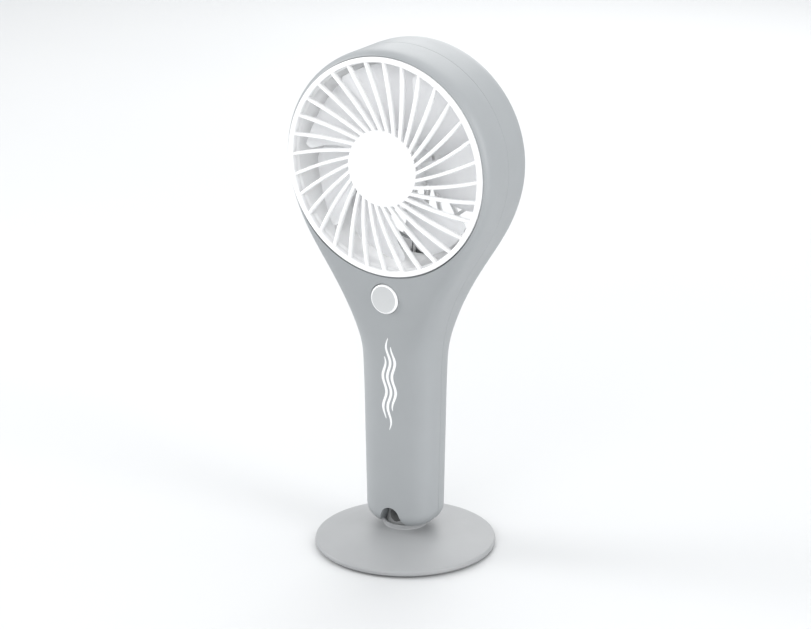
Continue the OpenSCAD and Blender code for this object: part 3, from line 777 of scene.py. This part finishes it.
def duct_liner():
    """Smooth white ring around the impeller, flared in front and with a thin lip over the rear ledge."""
    front, back = -SEAT_Y, REAR_SEAT_Y - REAR_LEDGE
    outer, lip = DUCT_R + DUCT_WALL, REAR_OPEN_R + 0.2
    wall = rounded([(DUCT_R, 0.0), (DUCT_R, front + 1.2), (DUCT_R + 0.7, front), (outer, front),
                    (outer, back), (lip, back), (lip, back - 0.6), (DUCT_R, back - 1.0),
                    (DUCT_R, 0.0)], 0.25)
    obj = lathe("duct_liner_ring", wall, "y", 0.0, HEAD_H, 256)
    foot, half = HEAD_H - DUCT_R, 5.0
    cut(obj, box_mm("lead_gap", (-half, 9.5, foot - half), (half, 20.0, foot + half)))
    shade(obj)
    return dress(obj, "white_grille", "fan", "duct_liner")


SPOKE_COUNT = 24
SPOKE_Y0, SPOKE_Y1, SPOKE_HALF = 16.4, 18.4, 0.7
HOOPS = (21.5, 31.0)
REAR_BACK, REAR_HUB_R = 18.8, 14.0


def rear_grille():
    """Ring, two hoops, spokes and a solid middle that closes the motor's cup, in one moulding."""
    r_in, r_out = 40.4, REAR_SEAT_R - 0.2
    rim = rounded([(r_in, REAR_SEAT_Y + 0.6), (r_in, REAR_BACK), (r_out, REAR_BACK), (r_out, REAR_SEAT_Y),
                   (r_in, REAR_SEAT_Y)], 0.6)
    obj = lathe("rear_grille_ring", rim, "y", 0.0, HEAD_H, 256)
    for r in HOOPS:
        low, high = r - SPOKE_HALF, r + SPOKE_HALF
        hoop = rounded([(low, 17.0), (low, SPOKE_Y1), (high, SPOKE_Y1), (high, SPOKE_Y0),
                        (low, SPOKE_Y0)], 0.4)
        add(obj, lathe("hoop", hoop, "y", 0.0, HEAD_H, 160))
    boss = [(0.0, SPOKE_Y0), (REAR_HUB_R, SPOKE_Y0), (REAR_HUB_R, REAR_BACK), (9.0, REAR_BACK - 0.25),
            (0.0, REAR_BACK - 0.3)]
    add(obj, lathe("boss", rounded(boss, 0.7), "y", 0.0, HEAD_H, 128, closed=False))
    inner, outer = REAR_HUB_R - 0.5, REAR_OPEN_R
    for k in range(SPOKE_COUNT):
        spoke = box_mm("spoke", (-SPOKE_HALF, SPOKE_Y0, inner), (SPOKE_HALF, SPOKE_Y1, outer))
        soften(spoke, 0.35, 3)
        turn = math.radians(360.0 / SPOKE_COUNT * k)
        for v in spoke.data.vertices:
            x, z = v.co.x, v.co.z - FOOT * MM
            v.co.x = x * math.cos(turn) + z * math.sin(turn)
            v.co.z = -x * math.sin(turn) + z * math.cos(turn) + (FOOT + HEAD_H) * MM
        add(obj, spoke)
    shade(obj)
    obj.name = "rear_grille_spokes"
    return dress(obj, "white_grille", "fan", "rear_grille")


# ---- impeller ----

BLADE_COUNT = 7
BLADE_ROOT, BLADE_TIP = 13.0, 42.3
BLADE_HALF_ANGLE, BLADE_SWEEP = 25.0, 14.0
BLADE_FRONT, BLADE_BACK, TIP_RISE = -12.2, -1.4, 2.0
BLADE_CAMBER = 1.6
HUB_R, HUB_WALL, HUB_FRONT, HUB_BACK = 14.0, 1.4, -13.0, -0.8
SLEEVE_R, SHAFT_R, SHAFT_END = 3.0, 1.0, -10.5


def blade(index, steps=26):
    """Swept blade with rounded edges and a rounded tip."""
    turn = 2 * math.pi * index / BLADE_COUNT

    def point(i, j, layer):
        q, c = i / steps, j / steps         # shares of the length and of the width
        r = mix(BLADE_ROOT, BLADE_TIP, q)
        tip = max(0.0, (q - 0.82) / 0.18)
        narrow = 1.0 - 0.2 * tip ** 2.5
        a = mix(-BLADE_HALF_ANGLE, BLADE_HALF_ANGLE, c) * narrow - BLADE_SWEEP * q * q
        edge = min(1.0, (7.0 * c) ** 0.5, (7.0 * (1.0 - c)) ** 0.5, (9.0 * (1.0 - q)) ** 0.5)
        thick = (0.15 + 1.15 * edge) * mix(1.0, 0.8, q)
        middle = mix(BLADE_FRONT, BLADE_BACK - TIP_RISE * q, c) + BLADE_CAMBER * math.sin(math.pi * c)
        y = middle + (2 * layer - 1) * thick / 2
        angle = math.radians(a) + turn
        return (r * math.sin(angle), y, HEAD_H + r * math.cos(angle))

    return sheet("blade", steps, steps, point)


def impeller():
    """Hub that covers the motor's cup, a sleeve for the shaft, and the blades."""
    inner_r, floor_y = HUB_R - HUB_WALL, HUB_FRONT + HUB_WALL
    cup = rounded([(0.0, HUB_FRONT), (HUB_R, HUB_FRONT), (HUB_R, HUB_BACK), (inner_r, HUB_BACK),
                   (inner_r, floor_y), (SLEEVE_R, floor_y), (SLEEVE_R, HUB_BACK), (SHAFT_R, HUB_BACK),
                   (SHAFT_R, SHAFT_END), (0.0, SHAFT_END)], 0.7)
    obj = lathe("impeller_hub", cup, "y", 0.0, HEAD_H, 128, closed=False)
    for k in range(BLADE_COUNT):
        add(obj, blade(k))
    shade(obj, 40.0)
    obj.name = "impeller_blades"
    return dress(obj, "white_blade", "impeller", "impeller")


# ---- button, socket and screws ----

HIGHLIGHT_FROM = 5.8         # radius where the white band of the painted highlight round the button's edge starts


def power_button():
    """Dished cap with a painted highlight, a white band round its edge, a flange that stops behind its
    guide, and a stem for the switch.
    """
    neck_r, flange_r, stem_r = BUTTON_R - 0.5, BUTTON_R + 0.8, 1.8
    dish = [(0.0, -17.92), (3.5, -17.98), (5.5, -18.14), (6.0, -18.2)]
    body = [(BUTTON_R, -17.6), (BUTTON_R, -13.2), (neck_r, -13.2), (neck_r, -10.6)]
    stem = [(flange_r, -10.6), (flange_r, -9.6), (stem_r, -9.6), (stem_r, -4.6), (0.0, -4.6)]
    profile = rounded(dish + body + stem, 0.2, 4)
    obj = lathe("power_button_cap", profile, "y", 0.0, BUTTON_H, 96, closed=False)
    dress(obj, "button_cap", "button", "power_button")
    # second material: the white of the painted highlight, for the faces round the cap's edge
    obj.data.materials.append(MATERIALS["button_edge_highlight"])
    for poly in obj.data.polygons:
        x, z = poly.center.x / MM, poly.center.z / MM - FOOT - BUTTON_H
        poly.material_index = 0 if math.hypot(x, z) < HIGHLIGHT_FROM else 1
    shade(obj, 28.0)


CONTACT_COUNT, CONTACT_PITCH, CONTACT_W = 12, 0.5, 0.3


def usb_socket():
    """Steel shell, a dark tongue and a row of contacts."""
    mouth = half_depth(USB_H) - 0.5
    obj = slab_y("usb_socket_shell", slot_loop(USB_HALF_W, USB_HALF_H, USB_H, 16), BOARD_Y, mouth)
    way = slot_loop(USB_HALF_W - USB_WALL, USB_HALF_H - USB_WALL, USB_H, 16)
    cut(obj, slab_y("mouth", way, 7.2, PAST))
    shade(obj)
    dress(obj, "motor_steel", "fan", "usb_socket")
    tongue = box_mm("usb_tongue", (-3.35, 6.7, USB_H - 0.35), (3.35, mouth - 0.9, USB_H + 0.35))
    soften(tongue, 0.12)
    shade(tongue)
    dress(tongue, "dark_plastic", "fan")
    contacts = None
    for k in range(CONTACT_COUNT):
        x = -2.9 + CONTACT_PITCH * k
        strip = box_mm("usb_contacts", (x, 11.0, USB_H - 0.4), (x + CONTACT_W, mouth - 1.3, USB_H + 0.4))
        contacts = gather(contacts, strip)
    dress(contacts, "bronze", "fan")


def cross_screw(x, h, y0, y1, head_r, head_t, r):
    """Cross-head screw along y; its head is at y1 and its tip at y0."""
    top = y1 + head_t
    slot_half = 0.22
    head = rounded([(0.0, top), (head_r * 0.7, top - 0.1), (head_r, top - head_t * 0.55), (head_r, y1),
                    (r, y1), (r, y0 + 0.8), (0.0, y0)], 0.25)
    obj = lathe("screw", head, "y", x, h, 40, closed=False)
    arm = head_r * 0.62
    for across, up in ((arm, slot_half), (slot_half, arm)):
        cut(obj, box_mm("slot", (x - across, top - 0.9, h - up), (x + across, top + 1.0, h + up)))
    return obj


def shell_screws():
    """Four screws that hold the two halves of the casing together."""
    obj = None
    for x, h, _ in BOSSES:
        obj = gather(obj, cross_screw(x, h, -6.0, SCREW_SEAT, SCREW_HEAD_R, 1.6, 0.85))
    obj.name = "shell_screw_set"
    shade(obj)
    dress(obj, "screw_steel", "fan", "shell_screws")


WEB_HALF = 1.9          # half thickness of the web across the notch


def lanyard_anchor():
    """Web across the notch, with the lanyard's hole."""
    obj = slab_y("lanyard_web", [(x, max(h, 0.4)) for x, h in arch_loop(-0.02)], -WEB_HALF, WEB_HALF)
    cut(obj, hole_cutter("eye", HOLE_R, WEB_HALF, -1, 0.0, HOLE_H, 0.3, -3.0, 64))
    shade(obj)
    # the anchor finish is lightened as painted fill light against the shade in the notch
    return dress(obj, "dark_plastic", "fan", "lanyard_anchor", finish="anchor")


# ---- battery ----

GROOVE_COUNT, GROOVE_TOP, GROOVE_PITCH = 5, 67.4, 1.9
HOOK_X, HOOK_HALF, HOOK_Y = 4.5, 1.5, 9.3


def battery_door():
    """Curved lid with finger grooves and a pull arrow, and two hooks under its lower edge."""
    n, m = 40, 60
    half = DOOR_HALF - DOOR_GAP

    def point(i, j, layer):
        h = mix(DOOR_LOW + DOOR_GAP, DOOR_HIGH - DOOR_GAP, i / n)
        x = half * math.sin(math.pi * j / m - math.pi / 2)
        y = surface_y(x, h)
        return (x, y if layer == 0 else min(y - 1.5, y * 0.88), h)

    obj = sheet("battery_lid", n, m, point)
    soften(obj, 0.22, 3, 50.0)
    for x in (-HOOK_X, HOOK_X):
        left, right = x - HOOK_HALF, x + HOOK_HALF
        add(obj, box_mm("hook", (left, HOOK_Y, DOOR_LOW + 0.3), (right, 12.4, DOOR_LOW + 2.6)))
        add(obj, box_mm("hook", (left, HOOK_Y, DOOR_LOW - 1.2), (right, 10.6, DOOR_LOW + 1.0)))
    add(obj, box_mm("tongue", (-3.0, 10.2, DOOR_HIGH - 3.0), (3.0, 12.4, DOOR_HIGH - 0.4)))
    for k in range(GROOVE_COUNT):
        h = GROOVE_TOP - GROOVE_PITCH * k
        y = surface_y(0.0, h)
        cut(obj, slab_y("groove", slot_loop(5.4 - 0.5 * k, 0.45, h, 8), y - 0.45, y + 2.0))
    arrow = ((-2.2, 56.4), (2.2, 56.4), (0.0, 53.2))
    cut(obj, slab_y("arrow", arrow, surface_y(0.0, 55.0) - 0.35, PAST))
    shade(obj)
    return dress(obj, "grey_shell", "battery_door", "battery_door")


CELL_X, CELL_R, CELL_LENGTH = 7.15, 7.1, 50.5


def cell(name, x, low, flip):
    """One round cell: a sleeve turned over at both ends, a coloured band, and a steel nub."""
    def turned(part, points, radius):
        profile = [(r, FOOT + low + (CELL_LENGTH - t if flip else t)) for r, t in points]
        obj = lathe(name + "_" + part, rounded(profile, radius), "z", x, 0.0, 96, closed=False)
        shade(obj)
        return obj

    low_r, band_r = CELL_R - 0.3, CELL_R + 0.02
    sleeve = turned("sleeve", [(0.0, 0.25), (5.9, 0.25), (5.9, 0.0), (CELL_R, 0.0), (CELL_R, 49.3),
                               (5.4, 49.3), (5.4, 48.9), (0.0, 48.9)], 0.5)
    band = turned("band", [(low_r, 37.5), (band_r, 37.5), (band_r, 48.4), (low_r, 48.4),
                           (low_r, 37.5)], 0.01)
    nub = turned("nub", [(0.0, 48.4), (5.3, 48.4), (5.3, 49.0), (2.7, 49.0), (2.7, CELL_LENGTH),
                         (0.0, CELL_LENGTH)], 0.3)
    return sleeve, band, nub


def battery_cells():
    """Two cells side by side, with their nubs at opposite ends."""
    for name, x, low, flip in (("cell_left", -CELL_X, 20.9, False), ("cell_right", CELL_X, 15.4, True)):
        sleeve, band, nub = cell(name, x, low, flip)
        dress(sleeve, "cell_sleeve", "fan", "battery_cells")
        dress(band, "cell_sleeve", "fan", finish="bronze")
        dress(nub, "cell_sleeve", "fan", finish="motor_steel")


SPRING_WIDE, SPRING_TIGHT, SPRING_WIRE = 4.0, 2.6, 0.35
SPRING_TURNS, SPRING_LENGTH = 4, 4.8


def coil(name, x, low, narrows, ring=40, sides=12):
    """Conical contact spring that stands on low; it narrows upwards, or widens."""
    steps = SPRING_TURNS * ring
    path = []
    for k in range(steps + 1):
        t = k / steps
        a = 2 * math.pi * SPRING_TURNS * t
        r = mix(SPRING_WIDE, SPRING_TIGHT, t if narrows else 1.0 - t)
        path.append(Vector((x + r * math.cos(a), r * math.sin(a), low + SPRING_LENGTH * t)))
    rings = []
    for k, p in enumerate(path):
        along = (path[min(steps, k + 1)] - path[max(0, k - 1)]).normalized()
        out = along.cross(Vector((0.0, 0.0, 1.0))).normalized()
        up = along.cross(out)
        turns = [2 * math.pi * q / sides for q in range(sides)]
        rings.append([tuple(p + SPRING_WIRE * (math.cos(w) * out + math.sin(w) * up)) for w in turns])
    return loft(name, rings)


def contact_springs():
    """One spring under the left cell and one over the right cell."""
    left = coil("contact_coils", -CELL_X, 15.75, True)
    add(left, coil("coil", CELL_X, 66.25, False))
    shade(left, 60.0)
    dress(left, "spring_steel", "fan", "contact_springs")


# ---- stand ----

STAND_R = (STAND_HIGH[0] - STAND_LOW[0]) / MM / 2
COLLAR_Z = STAND_HIGH[2] / MM
COLLAR_R = 9.5
PLUG_R, PLUG_Z, PLUG_GAP = 8.3, 9.5, 0.05       # flange of the plug, and the height that it stands on
PLUG_TOP, PRONG_HALF, PRONG_GAP = 24.0, 9.0, 0.35
STEM_WAY_R, FLOOR_LOW = 3.6, 4.2                # hole for the plug's stem, and the underside around it
DOME_TOP, DOME_R, DOME_WALL = 10.2, 117.8, 2.2
COVER_R = 34.3                                  # recess for the bottom cover


def dome_z(r, inset=0.0):
    """Height of the stand's dome, or of its inside, at a radius."""
    return math.sqrt((DOME_R - inset) ** 2 - r * r) + DOME_TOP - DOME_R


def stand_base():
    """Shallow dome with a soft rim, and the collar that the handle stands on."""
    rim = rounded([(COVER_R, 1.0), (STAND_R, 1.0), (STAND_R, dome_z(STAND_R)), (36.0, dome_z(36.0))], 1.1, 8)
    dome = [(r, dome_z(r)) for r in (33.0, 29.0, 25.0, 21.0, 17.0, 14.0)]
    hole_r = PLUG_R + PLUG_GAP
    collar = rounded([(12.4, dome_z(12.4)), (COLLAR_R, dome_z(COLLAR_R)), (COLLAR_R, COLLAR_Z),
                      (hole_r, COLLAR_Z), (hole_r, PLUG_Z), (STEM_WAY_R, PLUG_Z), (STEM_WAY_R, FLOOR_LOW),
                      (COLLAR_R, FLOOR_LOW), (COLLAR_R, dome_z(COLLAR_R, DOME_WALL))], 0.45, 6)
    under = [(r, dome_z(r, DOME_WALL)) for r in (14.0, 20.0, 26.0, 31.0, COVER_R)]
    obj = lathe("stand_dome", rim + dome + collar + under, "z", 0.0, 0.0, 256)
    shade(obj, 40.0)
    return dress(obj, "stand_grey", "stand", "stand_base")


def stand_spigot():
    """Plug that fills the notch in the handle on both sides of the lanyard web."""
    stem_r, stem_z = STEM_WAY_R - 0.1, FLOOR_LOW + 0.4
    flange = rounded([(0.0, COLLAR_Z), (PLUG_R, COLLAR_Z), (PLUG_R, PLUG_Z), (stem_r, PLUG_Z),
                      (stem_r, stem_z), (0.0, stem_z)], 0.25)
    obj = lathe("spigot", flange, "z", 0.0, 0.0, 128, closed=False)
    prong = slab_y("prongs", arch_loop(-PRONG_GAP), -PRONG_HALF, PRONG_HALF)
    low = COLLAR_Z - 0.3
    limit = rounded([(0.0, low), (PLUG_R, low), (PLUG_R, PLUG_TOP), (0.0, PLUG_TOP)], 0.2)
    combine(prong, lathe("limit", limit, "z", 0.0, 0.0, 128, closed=False), "INTERSECT")
    add(obj, prong)
    way = WEB_HALF + 0.3
    cut(obj, box_mm("web_way", (-PRONG_HALF, -way, 0.1), (PRONG_HALF, way, 12.0)),
        rod_y("eye_way", HOLE_R + 0.5, -10.0, 10.0, 0.0, HOLE_H, 64))
    shade(obj)
    # the anchor finish is lightened as painted fill light against the shade in the notch
    return dress(obj, "dark_plastic", "stand", "stand_spigot", finish="anchor")


# ---- CAD nodes that keep their own shape ----

KEPT = {        # finish, and how far the edges are rounded
    "motor_can": ("motor_steel", 0.3),
    "motor_end_cap": ("dark_plastic", 0.2),
    "motor_magnets": ("magnet", 0.1),
    "motor_bushes": ("bronze", 0.1),
    "motor_terminals": ("bronze", 0.05),
    "motor_cup": ("white_grille", 0.3),
    "motor_screws": ("screw_steel", 0.15),
    "motor_wires": ("wire_white", 0.0),
    "circuit_board": ("board_green", 0.1),
    "board_chips": ("dark_plastic", 0.12),
    "tact_switch": ("dark_plastic", 0.15),
    "battery_tray": ("grey_shell", 0.15),
    "contact_plates": ("spring_steel", 0.06),
    "battery_wires": ("wire_black", 0.0),
    "motor_shaft": ("screw_steel", 0.15),
    "armature": ("winding", 0.1),
    "commutator": ("winding", 0.1),
    "cell_pad": ("foam", 0.3),
    "stand_weight": ("motor_steel", 0.2),
    "stand_cover": ("stand_grey", 0.2),
    "stand_feet": ("rubber", 0.3),
    "spigot_screw": ("screw_steel", 0.12),
    "cover_screws": ("screw_steel", 0.2),
}


def dress_kept_nodes():
    """Finishes for the CAD nodes that no visual piece replaces."""
    for name, (finish, edge) in KEPT.items():
        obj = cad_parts[name]
        obj.data.materials.clear()
        obj.data.materials.append(MATERIALS[finish])
        obj.data.set_sharp_from_angle(angle=math.radians(32.0))
        for poly in obj.data.polygons:
            poly.use_smooth = True
        if edge:
            mod = obj.modifiers.new("edges", "BEVEL")
            mod.width = edge * MM
            mod.segments = 2
            mod.limit_method = "ANGLE"
            mod.angle_limit = math.radians(40.0)


# ---- stage, light and camera ----

def material_floor():
    """Pale matt board with very slow changes of shade."""
    mat, tree, bsdf = node_material("floor")
    coords = tree.nodes.new("ShaderNodeTexCoord")
    slow = noise(tree, coords, 3.0, 2.0)
    shades = ramp(tree, slow, "Fac", (0.62, 0.627, 0.632, 1.0), (0.635, 0.641, 0.646, 1.0))
    link(tree, shades, "Color", bsdf, "Base Color")
    bsdf.inputs["Roughness"].default_value = 0.7
    return mat


def floor():
    bpy.ops.mesh.primitive_plane_add(size=12.0, location=(0.0, 0.0, 0.0))
    plane = bpy.context.object
    plane.name = "studio_floor"
    plane.data.materials.append(material_floor())


def area_light(name, place, size, watts, target=(0.0, 0.0, 0.13)):
    """Soft light that looks at the fan unless another target is given."""
    data = bpy.data.lights.new(name, "AREA")
    data.shape = "RECTANGLE"
    data.size, data.size_y = size
    data.energy = watts
    lamp = bpy.data.objects.new(name, data)
    lamp.location = place
    lamp.rotation_euler = (Vector(target) - Vector(place)).to_track_quat("-Z", "Y").to_euler()
    bpy.context.scene.collection.objects.link(lamp)


def lights():
    """Pale sky, soft lights around the fan, and one that lifts the floor behind it."""
    world = bpy.data.worlds.new("studio")
    bpy.context.scene.world = world
    world.use_nodes = True
    sky = world.node_tree.nodes["Background"]
    sky.inputs["Color"].default_value = (0.97, 0.985, 1.0, 1.0)
    sky.inputs["Strength"].default_value = 0.72
    area_light("side_left", (-0.95, -0.35, 0.45), (0.4, 0.9), 6.2)
    area_light("side_right", (1.1, -0.15, 0.45), (0.4, 0.9), 6.8)
    area_light("front", (0.25, -1.1, 0.7), (0.9, 0.7), 4.6)
    area_light("top", (0.0, 0.1, 1.1), (0.8, 0.8), 2.6)
    area_light("behind", (-0.3, 1.0, 0.6), (0.8, 0.7), 3.2)
    area_light("backdrop", (-0.8, 1.3, 1.3), (1.8, 1.4), 9.0, target=(-0.8, 1.301, 0.0))


AZIMUTH, ELEVATION = 31.0, 19.0
LENS, SENSOR = 118.0, 36.0
FRAME_HEIGHT = 0.272                    # height of what the camera sees at the object
FRAME_ASPECT = 811.0 / 629.0            # width of the picture over its height
LOOK_AT = (0.0, 0.0, 0.107)


def camera():
    """Camera at the photo's angle, as far away as the lens and the frame's height ask for."""
    data = bpy.data.cameras.new("camera")
    data.lens = LENS
    data.sensor_width = SENSOR
    cam = bpy.data.objects.new("camera", data)
    distance = FRAME_HEIGHT * FRAME_ASPECT * LENS / SENSOR
    a, e = math.radians(AZIMUTH), math.radians(ELEVATION)
    back = Vector((math.sin(a) * math.cos(e), -math.cos(a) * math.cos(e), math.sin(e)))
    cam.location = Vector(LOOK_AT) + distance * back
    cam.rotation_euler = (-back).to_track_quat("-Z", "Y").to_euler()
    bpy.context.scene.collection.objects.link(cam)
    bpy.context.scene.camera = cam


camera()
lights()
floor()
front_casing()
rear_casing()
print_mark()
front_grille()
duct_liner()
rear_grille()
impeller()
power_button()
usb_socket()
shell_screws()
lanyard_anchor()
battery_door()
battery_cells()
contact_springs()
stand_base()
stand_spigot()
dress_kept_nodes()
bpy.context.scene.view_settings.view_transform = "Standard"
